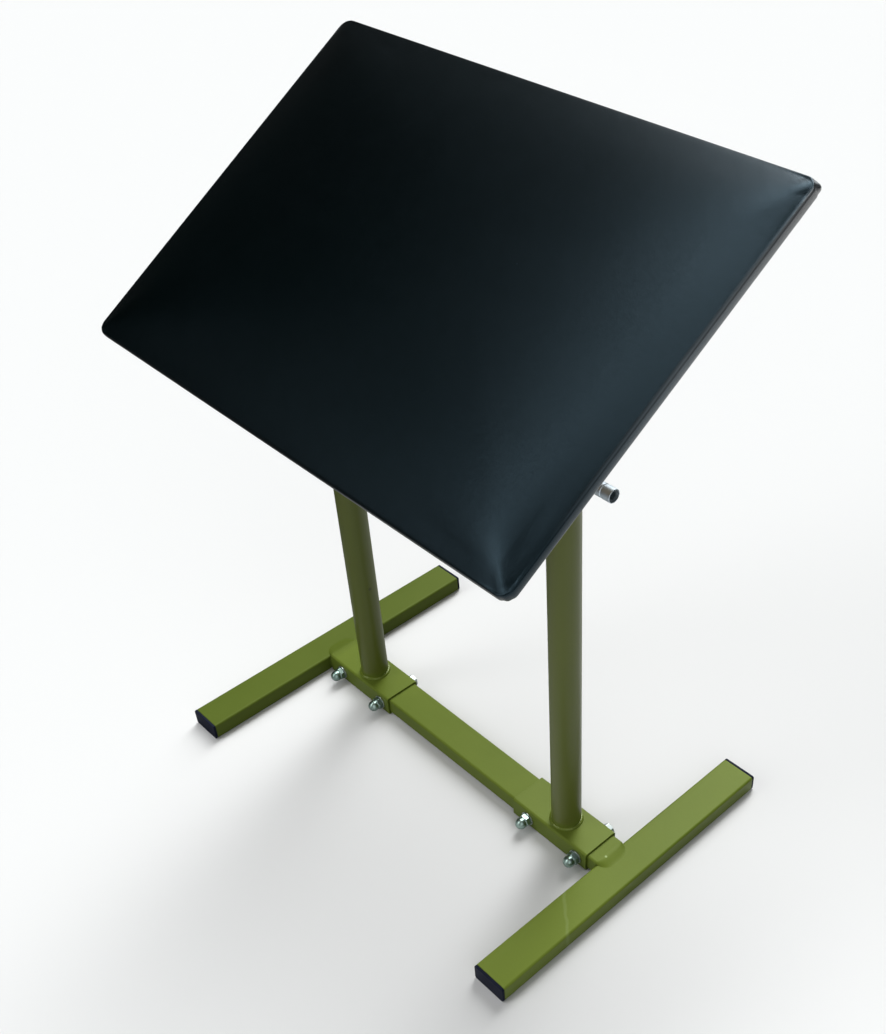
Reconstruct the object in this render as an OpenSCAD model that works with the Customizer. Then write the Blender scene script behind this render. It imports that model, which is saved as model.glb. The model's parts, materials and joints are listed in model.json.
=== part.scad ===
// Height-adjustable, tilting arm rest on two posts with an H-shaped base.
// Millimetres. X runs across the stand from one foot to the other, Y runs
// along the feet, Z is up. The origin is on the floor under the middle.

/* [Base] */
// Length of each foot tube with its end plugs
foot_len = 378; // [320:2:440]
// Distance between the centre lines of the two feet
foot_spacing = 488; // [488:2:560]
// Width of the rectangular tube of feet, stubs and crossbar
tube_w = 40; // [36:1:40]
// Height of the rectangular tube
tube_h = 20; // [18:1:22]
// Wall of the rectangular tubes
tube_wall = 2; // [1.5:0.25:2.5]
// Outer corner radius of the rectangular tubes
tube_r = 2.6; // [2.6:0.1:3.2]
// Height of the stubs and crossbar above the underside of the feet
stub_lift = 3; // [3:0.25:5]
// Thickness of the flange of the foot end plugs
plug_flange = 3; // [2:0.5:4]

/* [Sleeves] */
// Play between the crossbar and the inside of the sleeves, each side
sleeve_play = 0.5; // [0.3:0.1:0.8]
// Sleeve length from the post axis towards -X
sleeve_back = 59; // [52:1:59]
// Sleeve length from the post axis towards +X
sleeve_front = 50; // [46:1:54]
// Distance from the post axis to each cross bolt
bolt_offset = 36; // [32:1:38]

/* [Posts] */
// Distance of each post axis from the middle
post_x = 161.5; // [150:0.5:161.5]
// Outer diameter of the lower posts
post_d = 32; // [32:0.5:34]
// Wall of the lower posts
post_wall = 2; // [1.5:0.25:2]
// Height of the top end of the lower posts
post_top = 492; // [440:2:500]
// Height of the clamp screws above the floor
clamp_z = 474; // [420:1:474]

/* [Upper frame] */
// Outer diameter of the sliding uprights and the pivot tube
upper_d = 25; // [24:0.5:25]
// Wall of the uprights and the pivot tube
upper_wall = 1.5; // [1.2:0.1:2]
// Height of the tilt axis above the floor
pivot_z = 585; // [580:1:640]
// Height of the lower end of the uprights
upright_bottom = 240; // [120:5:260]
// Length of the pivot tube
pivot_len = 376; // [370:2:400]

/* [Pad] */
// Width of the pad along X
pad_w = 554; // [480:2:600]
// Depth of the pad along its slope
pad_d = 380; // [300:2:400]
// Tilt of the pad, its far edge raised
pad_tilt = 32; // [0:1:70]
// Thickness of the plywood board
board_t = 8; // [8:0.5:12]
// Corner radius of the pad
pad_r = 15; // [12:1:30]
// Foam thickness in the middle
foam_mid = 21; // [16:1:30]
// Foam thickness along the edges
foam_edge = 0.8; // [0.6:0.2:6]
// Thickness of the leatherette
cover_t = 1; // [0.8:0.1:1.4]
// Width of the leatherette folded under the board
hem_w = 34; // [24:1:40]
// Distance of each pad strap from the middle
strap_x = 95; // [60:1:120]

/* [Hidden] */
$fn = 64;

green = [0.38, 0.45, 0.20];
plug_black = [0.10, 0.11, 0.16];
zinc = [0.72, 0.74, 0.74];
bright = [0.80, 0.82, 0.84];

foot_x = foot_spacing/2;
foot_side = foot_x - tube_w/2;
foot_half = foot_len/2 - plug_flange;
bar_z = stub_lift + tube_h/2;
sl_w = tube_w + 2*sleeve_play + 2*tube_wall;
sl_h = tube_h + 2*sleeve_play + 2*tube_wall;
sl_top = bar_z + sl_h/2;
stub_in = post_x + 3.5;
bar_end = post_x - 4.5;
post_r = post_d/2;
post_ri = post_r - post_wall;
up_r = upper_d/2;
up_ri = up_r - upper_wall;
bush_ri = up_r + 0.06;
bush_h = 11;
bush_flange = 3;
hinge_play = 0.06;
liner_t = 1;
grip_r = up_r + hinge_play + liner_t;
strap_t = 2.5;
strap_w = 30;
ear_y = 32;
crown_p = 2.4;
crown_n = 28;
board_z = grip_r;
board_top = board_z + board_t;
board_w = pad_w - 2*cover_t;
board_d = pad_d - 2*cover_t;
m8 = 4;
m8_hole = 4.5;
m6 = 3;

// ---- profiles -------------------------------------------------------------

module round_rect(w, h, r) {
    square([w - 2*r, h], center = true);
    square([w, h - 2*r], center = true);
    for (sx = [-1, 1], sy = [-1, 1])
        translate([sx*(w/2 - r), sy*(h/2 - r)]) circle(r, $fn = 48);
}

module tube_profile(w, h, wall, r) {
    difference() {
        round_rect(w, h, r);
        round_rect(w - 2*wall, h - 2*wall, max(r - wall, 0.5));
    }
}

module along_x(x0, x1) {
    translate([x0, 0, 0]) rotate([90, 0, 90]) linear_extrude(x1 - x0) children();
}

module rod_x(r, x0, x1, n = 64) {
    translate([x0, 0, 0]) rotate([0, 90, 0]) cylinder(r = r, h = x1 - x0, $fn = n);
}

module rod_y(r, y0, y1, n = 64) {
    translate([0, y0, 0]) rotate([-90, 0, 0]) cylinder(r = r, h = y1 - y0, $fn = n);
}

module hex_y(af, y0, y1) {
    translate([0, y0, 0]) rotate([-90, 0, 0]) cylinder(d = af/cos(30), h = y1 - y0, $fn = 6);
}

// ---- base -----------------------------------------------------------------

module foot_tube(s) {
    translate([s*foot_x, 0, tube_h/2]) rotate([90, 0, 0])
        linear_extrude(2*foot_half, center = true)
            tube_profile(tube_w, tube_h, tube_wall, tube_r);
}

module foot_stub(s) {
    difference() {
        translate([0, 0, bar_z])
            along_x(s > 0 ? stub_in : -foot_side, s > 0 ? foot_side : -stub_in)
                tube_profile(tube_w, tube_h, tube_wall, tube_r);
        translate([s*(post_x + bolt_offset), 0, bar_z])
            rod_y(m8_hole, -tube_w, tube_w);
    }
}

// Fillet beads where each stub meets its foot: one down each side, one below
// and one on top, where the stub stands above the foot.
module stub_weld(s) {
    b = 2.5;
    side_h = tube_h - tube_r - stub_lift;
    flat = tube_w - 2*tube_r;
    for (t = [-1, 1])
        translate([s*foot_side, t*tube_w/2, stub_lift]) linear_extrude(side_h)
            polygon([[0, 0], [-s*b, 0], [-s*b*0.45, t*b*0.45], [0, t*b]]);
    translate([s*foot_side, 0, stub_lift]) rotate([90, 0, 0]) linear_extrude(flat, center = true)
        polygon([[0, 0], [-s*b, 0], [-s*1.1, -0.5], [0, -0.6]]);
    rotate([90, 0, 0]) linear_extrude(flat, center = true) difference() {
        polygon([[s*foot_side, tube_h - tube_r], [s*foot_side, tube_h + stub_lift - 0.4],
            [s*(foot_side + 2), tube_h + stub_lift - 0.9], [s*(foot_side + 5), tube_h + 0.7],
            [s*(foot_side + 6.5), tube_h], [s*(foot_side + 4), tube_h - 1]]);
        translate([s*foot_x, tube_h/2]) round_rect(tube_w, tube_h, tube_r);
    }
}

module end_plug(s, t) {
    translate([s*foot_x, t*foot_half, tube_h/2]) rotate([-t*90, 0, 0]) {
        linear_extrude(plug_flange) round_rect(tube_w, tube_h, tube_r);
        translate([0, 0, -12]) linear_extrude(12)
            round_rect(tube_w - 2*tube_wall, tube_h - 2*tube_wall, max(tube_r - tube_wall, 0.5));
    }
}

module crossbar() {
    color(green) difference() {
        translate([0, 0, bar_z]) along_x(-bar_end, bar_end)
            tube_profile(tube_w, tube_h, tube_wall, tube_r);
        for (s = [-1, 1])
            translate([s*(post_x - bolt_offset), 0, bar_z]) rod_y(m8_hole, -tube_w, tube_w);
    }
}

module sleeve(s) {
    color(green) difference() {
        translate([s*post_x, 0, bar_z]) along_x(-sleeve_back, sleeve_front)
            tube_profile(sl_w, sl_h, tube_wall, tube_r + 0.4);
        for (t = [-1, 1])
            translate([s*post_x + t*bolt_offset, 0, bar_z]) rod_y(m8_hole, -sl_w, sl_w);
    }
}

module post(s) {
    color(green) difference() {
        translate([s*post_x, 0, sl_top]) cylinder(r = post_r, h = post_top - sl_top, $fn = 96);
        translate([s*post_x, 0, sl_top - 1]) cylinder(r = post_ri, h = post_top, $fn = 96);
        translate([s*post_x, 0, clamp_z])
            rod_x(m8_hole, s > 0 ? 0 : -40, s > 0 ? 40 : 0);
    }
}

module post_weld(s) {
    translate([s*post_x, 0, sl_top]) rotate_extrude($fn = 96)
        polygon([[post_r, 0], [post_r + 4, 0], [post_r + 3, 1.8], [post_r + 1.6, 3], [post_r, 4]]);
}

module base_bolt(x) {
    translate([x, 0, bar_z]) {
        hex_y(13, sl_w/2 + 1.6, sl_w/2 + 6.9);
        rod_y(m8, -(sl_w/2 + 1.6 + 9.5), sl_w/2 + 1.6, 48);
    }
}

module bolt_washers(x) {
    for (s = [-1, 1])
        translate([x, s*(sl_w/2 + 0.8), bar_z]) difference() {
            rod_y(8, -0.8, 0.8, 48);
            rod_y(4.2, -2, 2, 48);
        }
}

module dome_nut(x) {
    translate([x, -(sl_w/2 + 1.6), bar_z]) difference() {
        union() {
            hex_y(13, -6.5, 0);
            rod_y(6.2, -8.8, -6, 48);
            translate([0, -8.8, 0]) sphere(r = 6.2, $fn = 48);
        }
        rod_y(m8, -11, 1, 48);
    }
}

bolt_xs = [-post_x - bolt_offset, -post_x + bolt_offset, post_x - bolt_offset, post_x + bolt_offset];

// ---- post tops: guide bush and clamp ----------------------------------------

module guide_bush(s) {
    color([0.12, 0.12, 0.13]) translate([s*post_x, 0, 0]) rotate_extrude($fn = 96)
        polygon([[bush_ri, post_top + bush_flange], [bush_ri, post_top - bush_h],
            [post_ri, post_top - bush_h], [post_ri, post_top],
            [post_r, post_top], [post_r, post_top + bush_flange - 1],
            [post_r - 1, post_top + bush_flange]]);
}

module clamp_boss(s) {
    color(green) difference() {
        translate([s*post_x, 0, clamp_z])
            rod_x(9.5, s > 0 ? 12 : -30, s > 0 ? 30 : -12);
        translate([s*post_x, 0, clamp_z - 20]) cylinder(r = post_r, h = 40, $fn = 96);
        translate([s*post_x, 0, clamp_z]) rod_x(m8 + 0.06, s > 0 ? 0 : -40, s > 0 ? 40 : 0);
    }
}

module lock_nut(s) {
    translate([s*(post_x + 30), 0, clamp_z]) rotate([0, s*90, 0]) difference() {
        cylinder(d = 13/cos(30), h = 6.5, $fn = 6);
        translate([0, 0, -1]) cylinder(r = m8 + 0.06, h = 10, $fn = 64);
    }
}

// Long cylindrical head with a ring groove and a hexagon socket.
module clamp_screw(s) {
    color(bright) translate([s*post_x, 0, clamp_z]) rotate([0, s*90, 0]) difference() {
        rotate_extrude($fn = 64)
            polygon([[0, up_r + 0.4], [m8 - 1, up_r + 0.4], [m8, up_r + 1.4], [m8, 39.5],
                [6.1, 39.5], [6.5, 39.9], [6.5, 47], [5.9, 47.4], [5.9, 48.2], [6.5, 48.6],
                [6.5, 57.4], [5.9, 58], [0, 58]]);
        translate([0, 0, 51]) cylinder(d = 7/cos(30), h = 10, $fn = 6);
        translate([0, 0, 57.2]) cylinder(r1 = 4.1, r2 = 5, h = 1, $fn = 64);
    }
}

// ---- upper frame ------------------------------------------------------------

module upright(s) {
    color(bright) difference() {
        translate([s*post_x, 0, upright_bottom])
            cylinder(r = up_r, h = pivot_z - 4 - upright_bottom, $fn = 96);
        translate([s*post_x, 0, upright_bottom - 1])
            cylinder(r = up_ri, h = pivot_z, $fn = 96);
        translate([0, 0, pivot_z]) rod_x(up_r, -pivot_len, pivot_len, 96);
    }
}

// Plastic plug that closes the lower end and runs in the post.
module glide_plug(s) {
    translate([s*post_x, 0, upright_bottom]) rotate_extrude($fn = 96)
        polygon([[0, -9], [post_ri - 1.2, -9], [post_ri - 0.08, -7.8], [post_ri - 0.08, -1],
            [post_ri - 0.6, 0], [up_ri, 0], [up_ri, 14], [up_ri - 1, 15], [0, 15]]);
}

module pivot_tube() {
    color(bright) translate([0, 0, pivot_z]) difference() {
        rod_x(up_r, -pivot_len/2, pivot_len/2, 96);
        rod_x(up_ri, -pivot_len, pivot_len, 96);
    }
}

module pivot_plug(s) {
    translate([s*pivot_len/2, 0, pivot_z]) rotate([0, s*90, 0]) rotate_extrude($fn = 96)
        polygon([[0, -12], [up_ri - 0.8, -12], [up_ri, -11], [up_ri, 0], [up_r, 0],
            [up_r, 1.2], [up_r - 1.3, 2.5], [0, 2.5]]);
}

module upright_weld(s) {
    b = 2.6;
    difference() {
        intersection() {
            translate([s*post_x, 0, pivot_z - 30]) cylinder(r = up_r + b, h = 30, $fn = 96);
            translate([0, 0, pivot_z]) rod_x(up_r + b, s*post_x - 20, s*post_x + 20, 96);
            translate([s*post_x, 0, pivot_z - 30]) cylinder(r1 = up_r + 8, r2 = up_r + 1, h = 30, $fn = 96);
        }
        translate([s*post_x, 0, pivot_z - 40]) cylinder(r = up_r, h = 50, $fn = 96);
        translate([0, 0, pivot_z]) rod_x(up_r, s*post_x - 30, s*post_x + 30, 96);
        translate([s*post_x - 30, -30, pivot_z - 4]) cube([60, 60, 30]);
    }
}

// ---- pad, drawn level with the tilt axis at the origin ------------------------

module tilted() {
    translate([0, 0, pivot_z]) rotate([pad_tilt, 0, 0]) children();
}

// Height of the crown at a distance u from the middle of a side of length w.
function crown_z(u, w, z_edge, z_mid) =
    z_mid - (z_mid - z_edge)*pow(min(1, abs(2*u/w)), crown_p);

// Section of the crown across one side: w is the foam's side, grow is what
// the cover adds on each side and on top.
function crown_section(w, z0, z_edge, z_mid, grow) = concat(
    [[w/2 + grow, z0], [w/2 + grow, z_edge + grow]],
    [for (i = [crown_n:-1:0]) let (u = w*(i/crown_n - 0.5))
        [u, crown_z(u, w, z_edge, z_mid) + grow]],
    [[-w/2 - grow, z_edge + grow], [-w/2 - grow, z0]]);

// A closed shape with straight sides and a top that is crowned both ways.
module crowned(w, d, r, z0, z_edge, z_mid, grow = 0) {
    intersection() {
        translate([0, 0, z0]) linear_extrude(z_mid + grow - z0 + 5)
            round_rect(w + 2*grow, d + 2*grow, r + grow);
        rotate([90, 0, 0]) linear_extrude(d + 40, center = true)
            polygon(crown_section(w, z0, z_edge, z_mid, grow));
        rotate([90, 0, 90]) linear_extrude(w + 40, center = true)
            polygon(crown_section(d, z0, z_edge, z_mid, grow));
    }
}

module strap_holes(r) {
    for (s = [-1, 1], t = [-1, 1])
        translate([s*strap_x, t*ear_y, -5]) cylinder(r = r, h = board_top + 10, $fn = 48);
}

module pad_board() {
    color([0.72, 0.55, 0.35]) tilted() difference() {
        translate([0, 0, board_z]) linear_extrude(board_t) round_rect(board_w, board_d, pad_r - cover_t);
        strap_holes(3.2);
        for (s = [-1, 1], t = [-1, 1])
            translate([s*strap_x, t*ear_y, board_top - 3]) cylinder(r = 8.1, h = 5, $fn = 48);
    }
}

module pad_foam() {
    color([0.85, 0.82, 0.70]) tilted()
        crowned(board_w, board_d, pad_r - cover_t, board_top, board_top + foam_edge, board_top + foam_mid);
}

module pad_cover() {
    color([0.09, 0.13, 0.14]) tilted() difference() {
        crowned(board_w, board_d, pad_r - cover_t, board_z - cover_t, board_top + foam_edge,
            board_top + foam_mid, cover_t);
        crowned(board_w, board_d, pad_r - cover_t, board_z, board_top + foam_edge, board_top + foam_mid);
        translate([0, 0, board_z - 10]) linear_extrude(12)
            round_rect(pad_w - 2*hem_w, pad_d - 2*hem_w, 4);
    }
}

module staple(x, y, a) {
    translate([x, y, board_z - cover_t]) rotate([0, 0, a]) {
        translate([-5.6, -0.6, -0.7]) cube([11.2, 1.2, 0.7]);
        for (s = [-1, 1]) translate([s*5.1 - 0.5, -0.6, -0.1]) cube([1, 1.2, 6.1]);
    }
}

module cover_staples() {
    ny = 5;
    nx = 8;
    sx = board_w/2 - 18;
    sy = board_d/2 - 18;
    color(zinc) tilted() {
        for (i = [0:nx - 1], t = [-1, 1])
            staple((i - (nx - 1)/2)*(2*sx - 40)/(nx - 1), t*sy, 0);
        for (i = [0:ny - 1], s = [-1, 1])
            staple(s*sx, (i - (ny - 1)/2)*(2*sy - 40)/(ny - 1), 90);
    }
}

// Bent strip that holds the pivot tube against the board.
module pad_strap(s) {
    color(zinc) tilted() translate([s*strap_x, 0, 0]) difference() {
        union() {
            rod_x(grip_r + strap_t, -strap_w/2, strap_w/2, 96);
            translate([-strap_w/2, -grip_r - strap_t, 0])
                cube([strap_w, 2*(grip_r + strap_t), board_z]);
            translate([-strap_w/2, -ear_y - 12, board_z - strap_t]) cube([strap_w, 2*ear_y + 24, strap_t]);
        }
        rod_x(grip_r, -strap_w, strap_w, 96);
        translate([-strap_w, -grip_r, 0]) cube([2*strap_w, 2*grip_r, board_z + 5]);
        translate([-strap_w, -50, board_z]) cube([2*strap_w, 100, 30]);
        for (t = [-1, 1]) translate([0, t*ear_y, -5]) cylinder(r = 3.2, h = 40, $fn = 48);
    }
}

module strap_liner(s) {
    tilted() translate([s*strap_x, 0, 0]) difference() {
        rod_x(grip_r, -strap_w/2 - 2, strap_w/2 + 2, 96);
        rod_x(up_r + hinge_play, -strap_w, strap_w, 96);
        translate([-strap_w, -0.6, 0]) cube([2*strap_w, 1.2, 20]);
    }
}

module strap_bolt(s, t) {
    tilted() translate([s*strap_x, t*ear_y, 0]) {
        translate([0, 0, board_top - 3]) cylinder(r = 8, h = 3, $fn = 48);
        translate([0, 0, board_z - strap_t - 1.6 - 8]) cylinder(r = m6, h = board_t + strap_t + 9.6 - 2.9, $fn = 48);
    }
}

module strap_washer(s, t) {
    tilted() translate([s*strap_x, t*ear_y, board_z - strap_t - 1.6]) difference() {
        cylinder(r = 6.4, h = 1.6, $fn = 48);
        translate([0, 0, -1]) cylinder(r = 3.2, h = 4, $fn = 48);
    }
}

module strap_nut(s, t) {
    tilted() translate([s*strap_x, t*ear_y, board_z - strap_t - 1.6]) difference() {
        union() {
            translate([0, 0, -5]) cylinder(d = 10/cos(30), h = 5, $fn = 6);
            translate([0, 0, -6.6]) cylinder(r = 4.6, h = 2, $fn = 48);
        }
        translate([0, 0, -9]) cylinder(r = m6, h = 10, $fn = 48);
    }
}

// ---- nodes --------------------------------------------------------------------

module left_foot_tube() { color(green) foot_tube(-1); }
module right_foot_tube() { color(green) foot_tube(1); }
module left_foot_stub() { color(green) foot_stub(-1); }
module right_foot_stub() { color(green) foot_stub(1); }
module stub_weld_beads() { color(green) for (s = [-1, 1]) stub_weld(s); }
module foot_end_plugs() { color(plug_black) for (s = [-1, 1], t = [-1, 1]) end_plug(s, t); }
module left_sleeve() { sleeve(-1); }
module right_sleeve() { sleeve(1); }
module left_post() { post(-1); }
module right_post() { post(1); }
module post_weld_beads() { color(green) for (s = [-1, 1]) post_weld(s); }
module base_bolts() { color(zinc) for (x = bolt_xs) base_bolt(x); }
module base_bolt_washers() { color(zinc) for (x = bolt_xs) bolt_washers(x); }
module base_dome_nuts() { color(bright) for (x = bolt_xs) dome_nut(x); }
module left_guide_bush() { guide_bush(-1); }
module right_guide_bush() { guide_bush(1); }
module left_clamp_boss() { clamp_boss(-1); }
module right_clamp_boss() { clamp_boss(1); }
module clamp_lock_nuts() { color(zinc) for (s = [-1, 1]) lock_nut(s); }
module left_clamp_screw() { clamp_screw(-1); }
module right_clamp_screw() { clamp_screw(1); }
module left_upright() { upright(-1); }
module right_upright() { upright(1); }
module upright_glide_plugs() { color(plug_black) for (s = [-1, 1]) glide_plug(s); }
module pivot_tube_plugs() { color(plug_black) for (s = [-1, 1]) pivot_plug(s); }
module upright_weld_beads() { color(bright) for (s = [-1, 1]) upright_weld(s); }
module left_pad_strap() { pad_strap(-1); }
module right_pad_strap() { pad_strap(1); }
module strap_liners() { color([0.15, 0.15, 0.15]) for (s = [-1, 1]) strap_liner(s); }
module strap_bolts() { color(zinc) for (s = [-1, 1], t = [-1, 1]) strap_bolt(s, t); }
module strap_washers() { color(zinc) for (s = [-1, 1], t = [-1, 1]) strap_washer(s, t); }
module strap_nuts() { color(zinc) for (s = [-1, 1], t = [-1, 1]) strap_nut(s, t); }

left_foot_tube();
right_foot_tube();
left_foot_stub();
right_foot_stub();
stub_weld_beads();
foot_end_plugs();
crossbar();
left_sleeve();
right_sleeve();
left_post();
right_post();
post_weld_beads();
base_bolts();
base_bolt_washers();
base_dome_nuts();
left_guide_bush();
right_guide_bush();
left_clamp_boss();
right_clamp_boss();
clamp_lock_nuts();
left_clamp_screw();
right_clamp_screw();
left_upright();
right_upright();
upright_glide_plugs();
pivot_tube();
pivot_tube_plugs();
upright_weld_beads();
pad_board();
pad_foam();
pad_cover();
cover_staples();
left_pad_strap();
right_pad_strap();
strap_liners();
strap_bolts();
strap_washers();
strap_nuts();
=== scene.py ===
import bpy
import bmesh
import json
import math
import random
from mathutils import Matrix, Vector, noise


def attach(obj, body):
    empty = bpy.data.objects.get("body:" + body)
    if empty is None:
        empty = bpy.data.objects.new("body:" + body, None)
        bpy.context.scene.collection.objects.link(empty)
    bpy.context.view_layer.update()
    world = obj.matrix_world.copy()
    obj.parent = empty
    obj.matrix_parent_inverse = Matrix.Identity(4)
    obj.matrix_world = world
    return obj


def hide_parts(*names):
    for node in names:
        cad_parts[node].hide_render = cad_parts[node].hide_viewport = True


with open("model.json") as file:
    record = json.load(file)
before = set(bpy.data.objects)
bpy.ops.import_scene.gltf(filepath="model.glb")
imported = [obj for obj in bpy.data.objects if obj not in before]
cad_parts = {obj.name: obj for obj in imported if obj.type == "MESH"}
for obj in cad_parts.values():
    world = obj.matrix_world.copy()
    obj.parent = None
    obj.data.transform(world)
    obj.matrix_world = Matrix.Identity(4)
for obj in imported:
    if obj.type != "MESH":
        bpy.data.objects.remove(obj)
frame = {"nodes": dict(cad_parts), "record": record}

random.seed(11)
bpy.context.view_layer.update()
nodes = frame["nodes"]
SLOT = {s["node"]: s["material_slot"] for s in frame["record"]["subparts"]}
BODY = {n: b for b, ns in frame["record"]["behaviour"]["bodies"].items() for n in ns}
scene = bpy.context.scene
MM = 0.001

# Sizes of the CAD model, in metres.
POST_X, POST_R, SL_TOP, SL_HALF = 0.1615, 0.016, 0.0255, 0.0225
FOOT_SIDE, TUBE_H, LIFT, BAR_Z = 0.224, 0.020, 0.003, 0.013
PIVOT_Z, UP_R, CLAMP_Z, TILT = 0.585, 0.0125, 0.474, math.radians(32)
BOARD_N = 0.01356
PALE_LINE = (0.2438, -0.0841, 0.640, 0.769)         # a point of the pale line, and the direction across it
GLINT_SPOT = (0.2255, -0.0064, 0.0230)
TUBE_R = 2.6                                    # corner radius of the flat tubes, in millimetres
CHIP = (-0.1456, -0.0017, 0.1620)
PAD = Matrix.Translation((0, 0, PIVOT_Z)) @ Matrix.Rotation(TILT, 4, "X")


# ---- materials -----------------------------------------------------------------

class Surface:
    """A node material with a principled shader and short calls for its textures."""

    def __init__(self, name, metallic=0.0, ior=1.5, specular=0.5, coat=0.0, coat_rough=0.1, tint=(1, 1, 1)):
        self.m = bpy.data.materials.new(name)
        self.m.use_nodes = True
        self.t = self.m.node_tree
        self.t.nodes.clear()
        out = self.t.nodes.new("ShaderNodeOutputMaterial")
        self.s = self.t.nodes.new("ShaderNodeBsdfPrincipled")
        self.t.links.new(self.s.outputs[0], out.inputs["Surface"])
        self.s.inputs["Metallic"].default_value = metallic
        self.s.inputs["IOR"].default_value = ior
        self.s.inputs["Specular IOR Level"].default_value = specular
        self.s.inputs["Coat Weight"].default_value = coat
        self.s.inputs["Coat Roughness"].default_value = coat_rough
        self.s.inputs["Specular Tint"].default_value = (*tint, 1)
        self.co = self.t.nodes.new("ShaderNodeTexCoord").outputs["Object"]

    def put(self, kind, inputs, **props):
        n = self.t.nodes.new(kind)
        for k, v in props.items():
            setattr(n, k, v)
        for k, v in inputs.items():
            if isinstance(v, bpy.types.NodeSocket):
                self.t.links.new(v, n.inputs[k])
            else:
                n.inputs[k].default_value = v
        return n

    def stretch(self, x, y, z, turn=(0, 0, 0)):
        return self.put("ShaderNodeMapping", {"Vector": self.co, "Scale": (x, y, z), "Rotation": turn}).outputs[0]

    def noise(self, scale, detail=3.0, rough=0.5, co=None, warp=0.0):
        return self.put("ShaderNodeTexNoise", {"Vector": co or self.co, "Scale": scale, "Detail": detail,
                                               "Roughness": rough, "Distortion": warp}).outputs["Fac"]

    def cells(self, scale, feature="F1", co=None, smooth=0.0):
        ins = {"Vector": co or self.co, "Scale": scale}
        if feature == "SMOOTH_F1":
            ins["Smoothness"] = smooth
        return self.put("ShaderNodeTexVoronoi", ins, feature=feature).outputs["Distance"]

    def ramp(self, fac, *stops):
        n = self.put("ShaderNodeValToRGB", {"Fac": fac})
        e = n.color_ramp.elements
        while len(e) < len(stops):
            e.new(0.5)
        for i, (at, col) in enumerate(stops):
            e[i].position = at
            e[i].color = (col, col, col, 1) if isinstance(col, (int, float)) else (*col, 1)
        return n.outputs["Color"]

    def mix(self, fac, a, b, kind="MIX"):
        def col(c):
            return c if isinstance(c, bpy.types.NodeSocket) else (*c, 1) if not isinstance(c, float) else (c, c, c, 1)
        n = self.t.nodes.new("ShaderNodeMix")
        n.data_type, n.blend_type = "RGBA", kind
        for i, v in ((0, fac), (6, col(a)), (7, col(b))):
            if isinstance(v, bpy.types.NodeSocket):
                self.t.links.new(v, n.inputs[i])
            else:
                n.inputs[i].default_value = v
        return n.outputs[2]

    def calc(self, op, a, b=0.0):
        return self.put("ShaderNodeMath", {0: a, 1: b}, operation=op).outputs[0]

    def span(self, v, lo, hi):
        return self.put("ShaderNodeMapRange", {"Value": v, "To Min": lo, "To Max": hi}).outputs[0]

    def step(self, v, lo, hi):
        """0 below lo, 1 above hi."""
        return self.put("ShaderNodeMapRange", {"Value": v, "From Min": lo, "From Max": hi}).outputs[0]

    def bump(self, height, strength, depth, under=None):
        ins = {"Height": height, "Strength": strength, "Distance": depth}
        if under:
            ins["Normal"] = under
        return self.put("ShaderNodeBump", ins).outputs[0]

    def finish(self, color, rough, normal):
        self.t.links.new(color, self.s.inputs["Base Color"])
        self.t.links.new(rough, self.s.inputs["Roughness"])
        self.t.links.new(normal, self.s.inputs["Normal"])
        return self.m


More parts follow.
